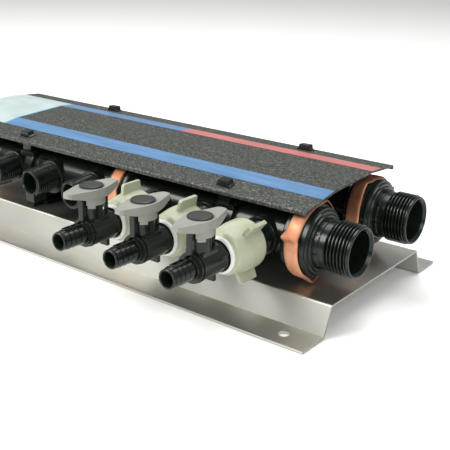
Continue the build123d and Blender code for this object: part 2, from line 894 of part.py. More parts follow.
def valve_handle():
    """Two-wing handle with a stop skirt round the bonnet and a seat for its cap."""
    low = bonnet_height + handle_gap
    high = low + handle_gauge
    half_length_y = handle_length / 2
    half_tip = handle_tip_width / 2
    half_middle = handle_middle_width / 2
    flat = handle_middle_length / 2
    cut = handle_tip_chamfer
    quarter = [(half_middle, flat), (half_tip, half_length_y - cut), (half_tip - cut, half_length_y)]
    outline = quarter + [(-x, y) for x, y in reversed(quarter)]
    outline += [(-x, -y) for x, y in quarter] + [(x, -y) for x, y in reversed(quarter)]
    handle = extrude(Pos(0, 0, low) * make_face(Polyline(*outline, close=True)), handle_gauge)
    upper = handle.faces().sort_by(Axis.Z)[-1]
    handle = chamfer(upper.edges(), handle_edge_chamfer)
    slope_start = skirt_radius + handle_edge_chamfer
    rise = handle_gauge - handle_tip_gauge
    for side in (-1, 1):
        under = make_face(Polyline(
            (side * slope_start, low),
            (side * (half_length_y + cut_overrun), low),
            (side * (half_length_y + cut_overrun), low + rise),
            close=True,
        ))
        handle -= along_x(under, -half_middle, half_middle)
    inner = skirt_radius - skirt_wall
    for start, end, drop in ((skirt_start, skirt_end, skirt_drop), (tab_start, tab_end, tab_drop)):
        slice_face = sector(2 * skirt_radius, start, end)
        wall = rod_z(skirt_radius, low - drop, low) - rod_z(inner, low - drop, low)
        handle += wall & extrude(Pos(0, 0, low - drop) * slice_face, drop)
    handle += rod_z(stem_radius + handle_boss_wall, bonnet_height + handle_boss_gap, low)
    half_square = stem_square / 2 + fit_clearance
    handle -= block(-half_square, half_square, -half_square, half_square, bonnet_height, high)
    handle -= rod_z(cap_radius + fit_clearance, high - cap_recess, high)
    return handle


def handle_cap():
    """Round cap that covers the stem's end, with its rim rounded over."""
    low = bonnet_height + handle_gap + handle_gauge - cap_recess
    cap = rod_z(cap_radius, low, low + cap_gauge)
    cap = fillet(cap.faces().sort_by(Axis.Z)[-1].edges(), cap_rounding)
    return cap


def main():
    nodes = {
        "base_bracket": base_bracket(),
        "cover_sheet": cover_sheet(),
        "label_film": label_film(),
        "saddle_screws": saddle_screws(),
        "return_bend": return_bend(),
        "joint_seals": joint_seals(),
        "divider_plug": divider_plug(),
        "inlet_adapter_front": inlet_adapter(-1),
        "inlet_adapter_back": inlet_adapter(1),
        "trunk_front_right": trunk_module(0, -1),
        "trunk_front_left": trunk_module(1, -1, keyed=True),
        "trunk_back_right": trunk_module(0, 1),
        "trunk_back_left": trunk_module(1, 1),
    }
    film_left = -cover_length / 2 + label_length
    film_right = cover_length / 2
    nodes["stripe_front_cold"] = stripe(-1, film_left, film_right)
    nodes["stripe_back_cold"] = stripe(1, film_left, stripe_split)
    nodes["stripe_back_hot"] = stripe(1, stripe_split, film_right)
    for name, port_x in zip(("right", "left"), saddle_port_x):
        nodes["saddle_" + name] = Pos(port_x + saddle_band_from_port, 0, 0) * saddle()
        nodes["saddle_clamp_" + name] = saddle_clamp(port_x)
    for joint in range(3):
        nodes[f"crimp_band_front_{joint + 1}"] = crimp_band(joint, -1)
        nodes[f"crimp_band_back_{joint + 1}"] = crimp_band(joint, 1)
    for number, (x, wing_angle) in enumerate(zip(valve_x, wing_angles), 1):
        place = Pos(x, stem_y, axis_height)
        pieces = {
            "body": valve_body(),
            "nut": swivel_nut(wing_angle),
            "washer": nut_washer(),
            "seat_outlet": ball_seat(-1),
            "seat_inlet": ball_seat(1),
            "retainer": seat_retainer(),
            "ball": valve_ball(),
            "stem": valve_stem(),
            "stem_seal": stem_seal(),
            "handle": valve_handle(),
            "cap": handle_cap(),
        }
        for piece, shape in pieces.items():
            nodes[f"valve_{number}_{piece}"] = place * shape
    os.makedirs("parts", exist_ok=True)
    for name, shape in nodes.items():
        export_step(shape, f"parts/{name}.step")
    print(len(nodes), "nodes written")


main()
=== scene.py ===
import json
import math

import bmesh
import bpy
from mathutils import Matrix, Vector


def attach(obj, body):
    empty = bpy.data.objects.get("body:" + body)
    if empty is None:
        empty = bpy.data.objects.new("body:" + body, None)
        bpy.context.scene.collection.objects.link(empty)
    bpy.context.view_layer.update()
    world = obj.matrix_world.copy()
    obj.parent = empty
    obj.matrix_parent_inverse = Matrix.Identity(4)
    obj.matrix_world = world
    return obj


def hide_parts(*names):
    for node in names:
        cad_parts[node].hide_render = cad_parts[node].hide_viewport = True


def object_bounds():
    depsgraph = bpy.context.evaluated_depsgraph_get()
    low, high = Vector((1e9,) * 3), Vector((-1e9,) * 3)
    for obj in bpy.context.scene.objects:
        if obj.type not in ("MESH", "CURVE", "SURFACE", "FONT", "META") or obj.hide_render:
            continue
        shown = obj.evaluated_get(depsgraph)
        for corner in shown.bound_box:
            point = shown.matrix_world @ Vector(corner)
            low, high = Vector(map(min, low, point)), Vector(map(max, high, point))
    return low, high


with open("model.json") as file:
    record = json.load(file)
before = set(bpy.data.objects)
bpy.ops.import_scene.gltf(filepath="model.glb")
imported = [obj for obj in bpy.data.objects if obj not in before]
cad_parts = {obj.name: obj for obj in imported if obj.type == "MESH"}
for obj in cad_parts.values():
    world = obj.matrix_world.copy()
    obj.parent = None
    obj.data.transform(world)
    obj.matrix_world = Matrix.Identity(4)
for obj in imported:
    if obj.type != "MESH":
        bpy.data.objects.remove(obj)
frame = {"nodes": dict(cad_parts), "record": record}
cad_low, cad_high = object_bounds()
scene = bpy.context.scene
MM = 0.001

# Sizes in millimetres, most of them the same as in the solids

# Bracket
HALF_LENGTH = 203.0
GAUGE = 1.5
HALF_DECK = 55.75
DECK_HEIGHT = 19.4
WEB_RUN = 7.4
FLANGE = 23.4
BEND_ROUNDING = 0.6
HOLE_X, HOLE_Y, HOLE_RADIUS = 182.4, 74.85, 3.5
SCREW_HOLE, SCREW_Y = 2.35, 25.0

# Pipe runs, with the joints counted from the inlets
AXIS = 47.9
ROW_Y = 36.4
PIPE, PIPE_BORE = 14.2, 11.4
JOINTS = (174.25, 26.25, -121.75)
MODULE = 148.0
JOINT_FLANGE, JOINT_FLANGE_DEPTH = 23.0, 4.5
JOINT_STEP, JOINT_DEPTH = 21.6, 8.2
JOINT_TO_PIPE = 11.9
JOINT_TO_BEND = 9.2

# Ports, along X from their joint and outwards from the pipe's axis
PORTS = (-27.75, -71.0, -114.25)
COLLAR_RADIUS, COLLAR_START, COLLAR_FACE = 12.6, 9.0, 16.6
PORT_MOUTH, PORT_BORE, PORT_BEVEL = 37.2, 7.4, 0.8
PORT_CREST, PORT_ROOT, PORT_PITCH = 10.2, 8.8, 1.81
PAD_FROM_PORT, PAD_HALF, PAD_FACE, PAD_RISE = 10.0, 6.75, 13.7, 10.6
KEY_HALF, KEY_START, KEY_TOP, KEY_BOTTOM = 4.5, 25.2, -4.0, -14.2

# Inlet adapters, along X from their joint
LUG_END, THREAD_START, THREAD_END, ADAPTER_MOUTH = 13.7, 18.2, 32.9, 34.9
ADAPTER_CREST, ADAPTER_ROOT, ADAPTER_PITCH = 16.7, 14.8, 2.31
NECK_RADIUS, ADAPTER_BORE, BEVEL_DEPTH, BEVEL_RADIUS = 15.5, 13.2, 1.9, 14.9
LUG_RADIUS, LUG_SLOTS, LUG_SLOT_WIDTH = 16.3, 9, 1.2

# Copper bands, with the angle of the tall ear from +Y towards +Z at each joint
BAND_ANGLES = {-1: (163.0, -18.0, -22.0), 1: (22.0, 198.0, 202.0)}
BAND_RADIUS, BAND_HALF_WIDTH, BAND_GAUGE = 23.75, 4.75, 0.6

# Ears: height, then width before and after the crest; the low ones start with their angle from the tall one
TALL_EAR = (5.0, 7.5, 4.2)
LOW_EARS = ((99.0, 3.7, 10.0, 26.0), (180.0, 1.6, 9.0, 9.0), (267.0, 2.8, 24.0, 11.0))

# Valves, along Y from their stem and up from the axis, with their nuts turned as in the photograph
STEM_Y = -109.6
VALVES = (60.0, 103.25, 146.5)
WING_ANGLES = (95.0, 80.0, 50.0)
BARREL_RADIUS, BARREL_FLAT = 9.3, 8.8
BARREL_FRONT, BARREL_REAR = -5.2, 8.4
TAIL_NECK, TAIL_STEP, TAIL_FACE = 30.7, 32.8, 34.8
BONNET_RADIUS, BONNET_HEIGHT = 6.6, 20.3
BARB_TEETH, BARB_FIRST, BARB_PITCH = 4, -11.9, 3.95
BARB_BORE, BARB_TIP = 4.16, -28.7
CHAMBER_RADIUS, STEM_HOLE, SHOULDER_HOLE = 7.05, 3.06, 4.26
NUT_FRONT, NUT_REAR, WING_TIP = 15.6, 44.1, 22.0
HANDLE_LOW, HANDLE_HIGH, HANDLE_HALF = 22.4, 28.4, 21.275
SKIRT_OUTER, SKIRT_INNER, STEM_HALF = 8.2, 7.0, 2.15
CAP_RADIUS, CAP_RECESS, CAP_GAUGE = 7.6, 1.1, 2.4

# Cover
COVER_HALF = 181.0
COVER_FOLD, COVER_EDGE, COVER_TOP = 22.75, 54.4, 78.2
COVER_SLOPE, COVER_ROLL, COVER_GAUGE = 6.9, 2.46, 1.6
COVER_LIP = 1.4

# Saddles, each beside a port
SADDLE_PORTS = (103.25, -88.0)
BAND_FROM_PORT, HOOK_FROM_PORT = 17.0, 12.0
SADDLE_HALF, SADDLE_WALL = 4.0, 3.0
FOOT_HALF_WIDTH, FOOT_HALF_LENGTH, FOOT_HEIGHT, FOOT_ANGLE = 8.0, 43.5, 3.0, 28.0
BRIDGE_HEIGHT = 3.6
POST_WIDTH, POST_HALF_DEPTH = 14.5, 3.5
HOOK_Y, HOOK_HALF_WIDTH, HOOK_HALF_DEPTH = 46.5, 4.5, 1.75
SEAT_GAP, OPEN_GAP = 0.05, 0.35

# A cut goes this far past the face that it opens
OVERRUN = 1.0

ABOUT_Y = Matrix.Rotation(math.radians(90), 4, "Z")
ABOUT_Z = Matrix.Rotation(math.radians(-90), 4, "Y")


def shift(x=0.0, y=0.0, z=0.0):
    return Matrix.Translation((x, y, z))


def spin(degrees, axis):
    return Matrix.Rotation(math.radians(degrees), 4, axis)


# Mesh tools: shapes are made in millimetres as temporary objects

def shape(mesh_data, matrix=None):
    bmesh.ops.recalc_face_normals(mesh_data, faces=mesh_data.faces)
    mesh = bpy.data.meshes.new("shape")
    mesh_data.to_mesh(mesh)
    mesh_data.free()
    made = bpy.data.objects.new("shape", mesh)
    scene.collection.objects.link(made)
    return moved(made, matrix) if matrix else made


def moved(made, matrix):
    made.data.transform(matrix)
    if matrix.determinant() < 0:
        made.data.flip_normals()
    return made


def soften(points, radius, steps=3, closed=True):
    """Rounds the corners of an outline."""
    out = []
    count = len(points)
    for i, p in enumerate(points):
        if not closed and i in (0, count - 1):
            out.append(tuple(p))
            continue
        here = Vector(p)
        back = Vector(points[i - 1]) - here
        ahead = Vector(points[(i + 1) % count]) - here
        reach = min(radius, 0.45 * back.length, 0.45 * ahead.length)
        if abs(back.angle(ahead) - math.pi) < 0.06:
            out.append(tuple(p))
            continue
        start = here + back.normalized() * reach
        end = here + ahead.normalized() * reach
        for k in range(steps + 1):
            t = k / steps
            out.append(tuple(start * (1 - t) ** 2 + here * (2 * t * (1 - t)) + end * t ** 2))
    return out


def rings_to_mesh(rings, closed):
    """Joins rings of points, one after another, into a skin."""
    data = bmesh.new()
    made = [[data.verts.new(p) for p in ring] for ring in rings]
    pairs = list(zip(made, made[1:]))
    if closed:
        pairs.append((made[-1], made[0]))
    for a, b in pairs:
        count = max(len(a), len(b))
        for k in range(count):
            j = (k + 1) % count
            if len(a) == 1 and len(b) == 1:
                continue
            if len(a) == 1:
                data.faces.new((a[0], b[j], b[k]))
            elif len(b) == 1:
                data.faces.new((a[k], a[j], b[0]))
            else:
                data.faces.new((a[k], a[j], b[j], b[k]))
    return data


def turned(points, matrix=None, segments=96, closed=False):
    """Solid turned about X from (station, radius) points."""
    rings = []
    for station, radius in points:
        if radius < 1e-6:
            rings.append([(station, 0.0, 0.0)])
            continue
        ring = []
        for k in range(segments):
            a = 2 * math.pi * k / segments
            ring.append((station, radius * math.cos(a), radius * math.sin(a)))
        rings.append(ring)
    return shape(rings_to_mesh(rings, closed), matrix)


def rod(radius, start, end, matrix=None, segments=64, edge=0.0):
    """Cylinder along X with its two edges eased."""
    points = [(start, 0.0), (start, radius), (end, radius), (end, 0.0)]
    if edge:
        points = soften(points, edge, 2, closed=False)
    return turned(points, matrix, segments)


def block(x0, x1, y0, y1, z0, z1, edge=0.4, matrix=None):
    """Rectangular block with rounded edges."""
    data = bmesh.new()
    bmesh.ops.create_cube(data, size=1.0)
    size = Vector((abs(x1 - x0), abs(y1 - y0), abs(z1 - z0)))
    middle = Vector(((x0 + x1) / 2, (y0 + y1) / 2, (z0 + z1) / 2))
    for v in data.verts:
        v.co = Vector([v.co[i] * size[i] for i in range(3)]) + middle
    if edge:
        bmesh.ops.bevel(data, geom=list(data.edges), offset=edge, segments=2, profile=0.5, affect="EDGES")
    return shape(data, matrix)


def prism(outline, z0, z1, edge=0.3, matrix=None):
    """Outline in (x, y) drawn out along Z, with the rims of both ends rounded."""
    data = bmesh.new()
    low = [data.verts.new((x, y, z0)) for x, y in outline]
    high = [data.verts.new((x, y, z1)) for x, y in outline]
    caps = [data.faces.new(low), data.faces.new(high)]
    count = len(outline)
    for k in range(count):
        j = (k + 1) % count
        data.faces.new((low[k], low[j], high[j], high[k]))
    bmesh.ops.recalc_face_normals(data, faces=data.faces)
    if edge:
        rims = list({e for cap in caps for e in cap.edges})
        bmesh.ops.bevel(data, geom=rims, offset=edge, segments=2, profile=0.5, affect="EDGES")
    return shape(data, matrix)


def thread(root, crest, pitch, start, end, wall, matrix=None, segments=96):
    """Sleeve along X with one helical ridge that fades out at both ends."""
    steps = 12
    fade_rate = 3
    groove, flank = 0.12, 0.6
    count = math.ceil((end - start) / pitch * steps)
    rings = []
    for i in range(count + 1):
        x = start + (end - start) * i / count
        fade = max(0.0, min(1.0, fade_rate * (x - start) / pitch, fade_rate * (end - x) / pitch))
        ring = []
        for k in range(segments):
            a = 2 * math.pi * k / segments
            phase = (x / pitch - k / segments) % 1.0
            rise = max(0.0, min(1.0, (abs(2 * phase - 1) - groove) / flank))
            radius = root + (crest - root) * rise * fade
            ring.append((x, radius * math.cos(a), radius * math.sin(a)))
        rings.append(ring)
    for x in (end, start):
        ring = []
        for k in range(segments):
            a = 2 * math.pi * k / segments
            ring.append((x, wall * math.cos(a), wall * math.sin(a)))
        rings.append(ring)
    return shape(rings_to_mesh(rings, True), matrix)


def combine(base, others, operation="UNION"):
    """Joins closed shapes to a base, or cuts them from it."""
    for other in others:
        step = base.modifiers.new("step", "BOOLEAN")
        step.operation = operation
        step.solver = "MANIFOLD"
        step.object = other
    bpy.context.view_layer.update()
    graph = bpy.context.evaluated_depsgraph_get()
    mesh = bpy.data.meshes.new_from_object(base.evaluated_get(graph))
    base.modifiers.clear()
    old = base.data
    base.data = mesh
    bpy.data.meshes.remove(old)
    for other in others:
        mesh = other.data
        bpy.data.objects.remove(other)
        bpy.data.meshes.remove(mesh)
    return base


def cut(base, others):
    return combine(base, others, "DIFFERENCE")


def finish_piece(made, name, slot, nodes, body="root", angle=32.0):
    """Scales a shape to metres, shades it and rides it on its body."""
    same_point, sliver = 0.004, 0.002
    made.name = name
    made.data.name = name
    data = bmesh.new()
    data.from_mesh(made.data)
    bmesh.ops.remove_doubles(data, verts=data.verts, dist=same_point)
    bmesh.ops.dissolve_degenerate(data, edges=data.edges, dist=sliver)
    data.to_mesh(made.data)
    data.free()
    made.data.transform(Matrix.Scale(MM, 4))
    made.data.shade_smooth()
    made.data.set_sharp_from_angle(angle=math.radians(angle))
    weigh = made.modifiers.new("weigh", "WEIGHTED_NORMAL")
    weigh.keep_sharp = True
    made.data.materials.clear()
    made.data.materials.append(MATERIALS[slot])
    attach(made, body)
    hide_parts(*nodes)


# Materials

MATERIALS = {}


class Shade:
    """A material made of nodes, with the row's own coordinates as its texture space."""

    def __init__(self, name, **sockets):
        self.material = bpy.data.materials.new(name)
        self.material.use_nodes = True
        self.nodes = self.material.node_tree.nodes
        self.links = self.material.node_tree.links
        self.shader = self.nodes["Principled BSDF"]
        for key, value in sockets.items():
            self.shader.inputs[key.replace("_", " ")].default_value = value
        self.space = self.nodes.new("ShaderNodeTexCoord").outputs["Object"]
        MATERIALS[name] = self.material

    def noise(self, scale, detail=3.0, stretch=(1, 1, 1), roughness=0.5, distortion=0.0):
        spread = self.nodes.new("ShaderNodeMapping")
        spread.inputs["Scale"].default_value = stretch
        self.links.new(self.space, spread.inputs["Vector"])
        noise = self.nodes.new("ShaderNodeTexNoise")
        noise.inputs["Scale"].default_value = scale
        noise.inputs["Detail"].default_value = detail
        noise.inputs["Roughness"].default_value = roughness
        noise.inputs["Distortion"].default_value = distortion
        self.links.new(spread.outputs[0], noise.inputs["Vector"])
        return noise.outputs["Fac"]

    def ramp(self, value, stops):
        ramp = self.nodes.new("ShaderNodeValToRGB")
        points = ramp.color_ramp.elements
        while len(points) < len(stops):
            points.new(0.5)
        for point, (place, colour) in zip(points, stops):
            point.position = place
            point.color = (*colour, 1.0)
        self.links.new(value, ramp.inputs["Fac"])
        return ramp.outputs["Color"]

    def spread(self, value, low, high, start=0.3, end=0.7):
        spread = self.nodes.new("ShaderNodeMapRange")
        spread.inputs["From Min"].default_value = start
        spread.inputs["From Max"].default_value = end
        spread.inputs["To Min"].default_value = low
        spread.inputs["To Max"].default_value = high
        self.links.new(value, spread.inputs["Value"])
        return spread.outputs["Result"]

    def beyond(self, axis, place, width=0.0004):
        """Goes from 0 to 1 where a coordinate passes a place."""
        split = self.nodes.new("ShaderNodeSeparateXYZ")
        self.links.new(self.space, split.inputs[0])
        return self.spread(split.outputs[axis], 0.0, 1.0, place - width / 2, place + width / 2)

    def mixed(self, share, first, second):
        mix = self.nodes.new("ShaderNodeMix")
        mix.data_type = "RGBA"
        self.links.new(share, mix.inputs["Factor"])
        for socket, value in ((mix.inputs[6], first), (mix.inputs[7], second)):
            if isinstance(value, tuple):
                socket.default_value = (*value, 1.0)
            else:
                self.links.new(value, socket)
        return mix.outputs[2]

    def use(self, socket, value):
        self.links.new(value, self.shader.inputs[socket])

    def bump(self, value, height_mm, strength=1.0, after=None):
        bump = self.nodes.new("ShaderNodeBump")
        bump.inputs["Distance"].default_value = height_mm * MM
        bump.inputs["Strength"].default_value = strength
        self.links.new(value, bump.inputs["Height"])
        if after is not None:
            self.links.new(after, bump.inputs["Normal"])
        self.links.new(bump.outputs["Normal"], self.shader.inputs["Normal"])
        return bump.outputs["Normal"]


def moulded(name, colour, light, rough, grain=900.0, relief=0.02, **sockets):
    """Moulded plastic: faint mottling, flow marks in the gloss and a fine skin texture."""
    shade = Shade(name, **sockets)
    shade.use("Base Color", shade.ramp(shade.noise(60.0, 4.0), [(0.3, colour), (0.75, light)]))
    shade.use("Roughness", shade.spread(shade.noise(35.0, 5.0), *rough))
    wide = shade.bump(shade.noise(120.0, 2.0), 3 * relief, 0.5)
    shade.bump(shade.noise(grain, 2.0), relief, 0.6, wide)
    return shade


def make_steel():
    """Brushed sheet with a faint clear gloss, darker on its cut ends."""
    steel = Shade("steel", Metallic=1.0, Coat_Weight=0.6, Coat_Roughness=0.07)
    sheet = steel.ramp(steel.noise(9.0, 5.0), [(0.25, (0.47, 0.465, 0.425)), (0.8, (0.57, 0.565, 0.52))])
    cut_end = (0.30, 0.29, 0.26)
    end_face = HALF_LENGTH * MM - 0.00015
    steel.use("Base Color", steel.mixed(steel.beyond(0, end_face, 0.0002), sheet, cut_end))
    grain = steel.noise(22.0, 6.0, (1.0, 90.0, 90.0), 0.6)
    steel.use("Roughness", steel.spread(grain, 0.36, 0.47))
    steel.bump(grain, 0.002, 0.1)


def make_cover_paint():
    """Rough dark coating with pale specks."""
    cover = Shade("cover")
    speck = cover.noise(700.0, 2.5, roughness=0.75)
    dark, middle, pale = (0.005, 0.006, 0.0045), (0.021, 0.023, 0.019), (0.11, 0.115, 0.098)
    cover.use("Base Color", cover.ramp(speck, [(0.40, dark), (0.52, middle), (0.64, pale)]))
    cover.use("Roughness", cover.spread(speck, 0.62, 0.42))
    cover.bump(speck, 0.07, 0.6)


def make_films():
    """Two stripe colours with faint streaks along them, and the bare label with its border line."""
    for name, colour in (("stripe_cold", (0.060, 0.143, 0.272)), ("stripe_hot", (0.35, 0.100, 0.094))):
        film = Shade(name)
        pale = [min(1.0, c * 1.35 + 0.01) for c in colour]
        streaks = film.noise(30.0, 1.0, (1.0, 9.0, 9.0))
        film.use("Base Color", film.ramp(streaks, [(0.3, colour), (0.75, pale)]))
        film.use("Roughness", film.spread(film.noise(60.0, 1.0), 0.28, 0.4))
    label = Shade("label")
    paper = label.ramp(label.noise(60.0, 1.0), [(0.3, (0.34, 0.42, 0.42)), (0.8, (0.42, 0.50, 0.50))])
    border_x, border_colour = -0.117, (0.12, 0.30, 0.42)
    label.use("Base Color", label.mixed(label.beyond(0, border_x), paper, border_colour))
    label.use("Roughness", label.spread(label.noise(50.0, 1.0), 0.27, 0.38))


def make_plastics():
    """Mouldings, and the ivory nuts with their white lip."""
    moulded("black_plastic", (0.004, 0.0065, 0.0048), (0.009, 0.0135, 0.0105), (0.16, 0.30),
            Specular_IOR_Level=0.33)
    moulded("dark_plastic", (0.012, 0.014, 0.013), (0.022, 0.024, 0.022), (0.40, 0.55),
            Specular_IOR_Level=0.3)
    moulded("handle_grey", (0.215, 0.215, 0.19), (0.26, 0.26, 0.232), (0.38, 0.52), relief=0.015)
    moulded("cap_grey", (0.018, 0.021, 0.019), (0.032, 0.036, 0.033), (0.34, 0.46), Specular_IOR_Level=0.4)
    moulded("rubber", (0.012, 0.012, 0.012), (0.022, 0.022, 0.022), (0.62, 0.78))
    moulded("seat_white", (0.74, 0.74, 0.70), (0.80, 0.80, 0.77), (0.30, 0.40))
    ivory = moulded("nut_ivory", (0.33, 0.35, 0.245), (0.41, 0.43, 0.315), (0.24, 0.38), relief=0.03,
                    Subsurface_Weight=0.25, Subsurface_Radius=(0.004, 0.0035, 0.002), Subsurface_Scale=0.5)
    skin = ivory.shader.inputs["Base Color"].links[0].from_socket
    lip_y, white = -0.0919, (0.66, 0.67, 0.64)
    ivory.use("Base Color", ivory.mixed(ivory.beyond(1, lip_y, 0.0008), white, skin))


def make_metals():
    """Copper with random patches, painted darker above and lighter below as painted shade and painted
    light, and three plain metals.
    """
    copper = Shade("copper", Metallic=0.82)
    patch = copper.noise(70.0, 5.0, distortion=0.6)
    # Painted shade above and painted light below: the darker ramp is used above the split height and the
    # lighter ramp below it.
    painted_shade_above = copper.ramp(patch, [(0.25, (0.23, 0.08, 0.04)), (0.5, (0.43, 0.18, 0.095)),
                                    (0.8, (0.61, 0.30, 0.18))])
    painted_light_below = copper.ramp(patch, [(0.25, (0.66, 0.29, 0.165)), (0.5, (0.87, 0.44, 0.27)),
                                (0.8, (0.93, 0.57, 0.40))])
    painted_light_split_z, painted_light_blend = 0.047, 0.03
    copper.use("Base Color", copper.mixed(copper.beyond(2, painted_light_split_z, painted_light_blend), painted_light_below, painted_shade_above))
    copper.use("Roughness", copper.spread(copper.noise(120.0, 4.0), 0.5, 0.72))
    dents = copper.bump(copper.noise(90.0, 2.0), 0.35, 0.6)
    copper.bump(copper.noise(700.0, 3.0), 0.015, 0.5, dents)
    for name, colour, rough in (("screw_steel", (0.55, 0.55, 0.53), (0.22, 0.36)),
                                ("ball_chrome", (0.80, 0.80, 0.80), (0.06, 0.12)),
                                ("stem_brass", (0.62, 0.47, 0.21), (0.22, 0.36))):
        metal = Shade(name, Metallic=1.0)
        pale = [min(1.0, c * 1.15) for c in colour]
        metal.use("Base Color", metal.ramp(metal.noise(300.0, 3.0), [(0.3, colour), (0.7, pale)]))
        metal.use("Roughness", metal.spread(metal.noise(500.0, 3.0), *rough))
        metal.bump(metal.noise(1200.0, 2.0), 0.01, 0.5)


# Bracket: folded sheet with rounded bends

def thick_line(points, gauge):
    """Closed outline of a sheet whose middle line is given."""
    left, right = [], []
    count = len(points)
    for i, p in enumerate(points):
        a = Vector(points[max(0, i - 1)])
        b = Vector(points[min(count - 1, i + 1)])
        along = (b - a).normalized()
        across = Vector((-along.y, along.x)) * gauge / 2
        left.append(tuple(Vector(p) + across))
        right.append(tuple(Vector(p) - across))
    return left + right[::-1]


YZ_TO_XYZ = Matrix(((0, 0, 1, 0), (1, 0, 0, 0), (0, 1, 0, 0), (0, 0, 0, 1)))


def sheet_along_x(points, gauge, x0, x1, edge=0.2, matrix=None):
    """Folded sheet from its (y, z) middle line, drawn out along X."""
    made = prism(thick_line(points, gauge), x0, x1, edge, YZ_TO_XYZ)
    return moved(made, matrix) if matrix else made


def make_bracket():
    half = GAUGE / 2
    foot = HALF_DECK + WEB_RUN
    deck = DECK_HEIGHT - half
    corners = [(-(foot + FLANGE), half), (-foot, half), (-HALF_DECK, deck),
               (HALF_DECK, deck), (foot, half), (foot + FLANGE, half)]
    line = soften(corners, BEND_ROUNDING, 4, closed=False)
    sheet = sheet_along_x(line, GAUGE, -HALF_LENGTH, HALF_LENGTH)
    holes = []
    for x in (-HOLE_X, HOLE_X):
        for y in (-HOLE_Y, HOLE_Y):
            holes.append(rod(HOLE_RADIUS, -4, 8, shift(x, y) @ ABOUT_Z, 48))
    for port_x in SADDLE_PORTS:
        for y in (-SCREW_Y, SCREW_Y):
            place = shift(port_x + BAND_FROM_PORT, y) @ ABOUT_Z
            holes.append(rod(SCREW_HOLE, DECK_HEIGHT - 5, DECK_HEIGHT + 5, place, 32))
    cut(sheet, holes)
    finish_piece(sheet, "bracket_sheet", "steel", ["base_bracket"])


# Cover

def cover_height(y):
    return -max(0.0, abs(y) - COVER_FOLD) * math.tan(math.radians(COVER_SLOPE))


COVER_FRAME = shift(0, 0, COVER_TOP) @ spin(COVER_ROLL, "X")


def hook_frame(side, x):
    y = side * HOOK_Y
    return COVER_FRAME @ shift(x, y, cover_height(y)) @ spin(-side * COVER_SLOPE, "X")


def make_cover():
    half = COVER_GAUGE / 2
    side_y = COVER_EDGE - half
    edge = cover_height(COVER_EDGE)
    lip = edge - COVER_GAUGE - COVER_LIP
    corners = [(-side_y, lip), (-side_y, edge - half), (-COVER_FOLD, -half),
               (COVER_FOLD, -half), (side_y, edge - half), (side_y, lip)]
    line = soften(corners, 1.2, 4, closed=False)
    sheet = sheet_along_x(line, COVER_GAUGE, -COVER_HALF, COVER_HALF, 0.25, COVER_FRAME)
    slots = []
    slot_x, slot_y = HOOK_HALF_WIDTH + OPEN_GAP, HOOK_HALF_DEPTH + OPEN_GAP
    for port_x in SADDLE_PORTS:
        for side in (-1, 1):
            place = hook_frame(side, port_x + HOOK_FROM_PORT)
            slots.append(block(-slot_x, slot_x, -slot_y, slot_y, -4, 4, 0.3, place))
    cut(sheet, slots)
    finish_piece(sheet, "cover_shell", "cover", ["cover_sheet"])


# Pipe modules, adapters and the return bend

def joint_points(x, out):
    """Outline of a joint flange with its step."""
    rim, step = x + out * JOINT_FLANGE_DEPTH, x + out * JOINT_DEPTH
    return [(x, JOINT_FLANGE), (rim, JOINT_FLANGE), (rim, JOINT_STEP), (step, JOINT_STEP)]


def make_module(name, joint, face, keyed=False):
    """Pipe module with three ports and a pad, and a key on one module."""
    x1 = JOINTS[joint]
    x0 = x1 - MODULE
    profile = [(x1, 0), *joint_points(x1, -1), (x1 - JOINT_TO_PIPE, PIPE), (x0 + JOINT_TO_PIPE, PIPE),
               *reversed(joint_points(x0, 1)), (x0, 0)]
    body = turned(soften(profile, 0.8, 3, closed=False), segments=128)
    toward = ABOUT_Y if face > 0 else spin(-90, "Z")
    core, bevel, past = PORT_ROOT - 0.15, PORT_BORE + PORT_BEVEL, PORT_MOUTH + OVERRUN
    tube = [(0, 0), (0, core), (PORT_MOUTH, core), (PORT_MOUTH, 0)]
    collar = [(COLLAR_START, 0), (COLLAR_START, COLLAR_RADIUS),
              (COLLAR_FACE, COLLAR_RADIUS), (COLLAR_FACE, 0)]
    bore = [(0, 0), (0, PORT_BORE), (PORT_MOUTH - 1.0, PORT_BORE), (PORT_MOUTH + 0.2, bevel),
            (past, bevel), (past, 0)]
    adds, bores = [], [rod(PIPE_BORE, x0 - OVERRUN, x1 + OVERRUN, segments=96)]
    for from_joint in PORTS:
        place = shift(x1 + from_joint) @ toward
        adds.append(turned(soften(tube, 0.5, 3, closed=False), place, 72))
        adds.append(turned(soften(collar, 0.6, 3, closed=False), place, 72))
        adds.append(thread(PORT_ROOT, PORT_CREST, PORT_PITCH, COLLAR_FACE - 0.6, PORT_MOUTH - 0.5,
                           PORT_ROOT - 0.9, place, 72))
        bores.append(turned(bore, place, 72))
    middle = x1 + PORTS[1]
    pad_x = middle - PAD_FROM_PORT
    pad = block(pad_x - PAD_HALF, pad_x + PAD_HALF, face * 4, face * PAD_FACE, -2, PAD_RISE, 0.7)
    adds.append(pad)
    if keyed:
        key = block(middle - KEY_HALF, middle + KEY_HALF, face * KEY_START, face * PORT_MOUTH,
                    KEY_BOTTOM, KEY_TOP, 0.6)
        adds.append(key)
    combine(body, adds)
    cut(body, bores)
    moved(body, shift(0, face * ROW_Y, AXIS))
    finish_piece(body, name + "_moulding", "black_plastic", [name])


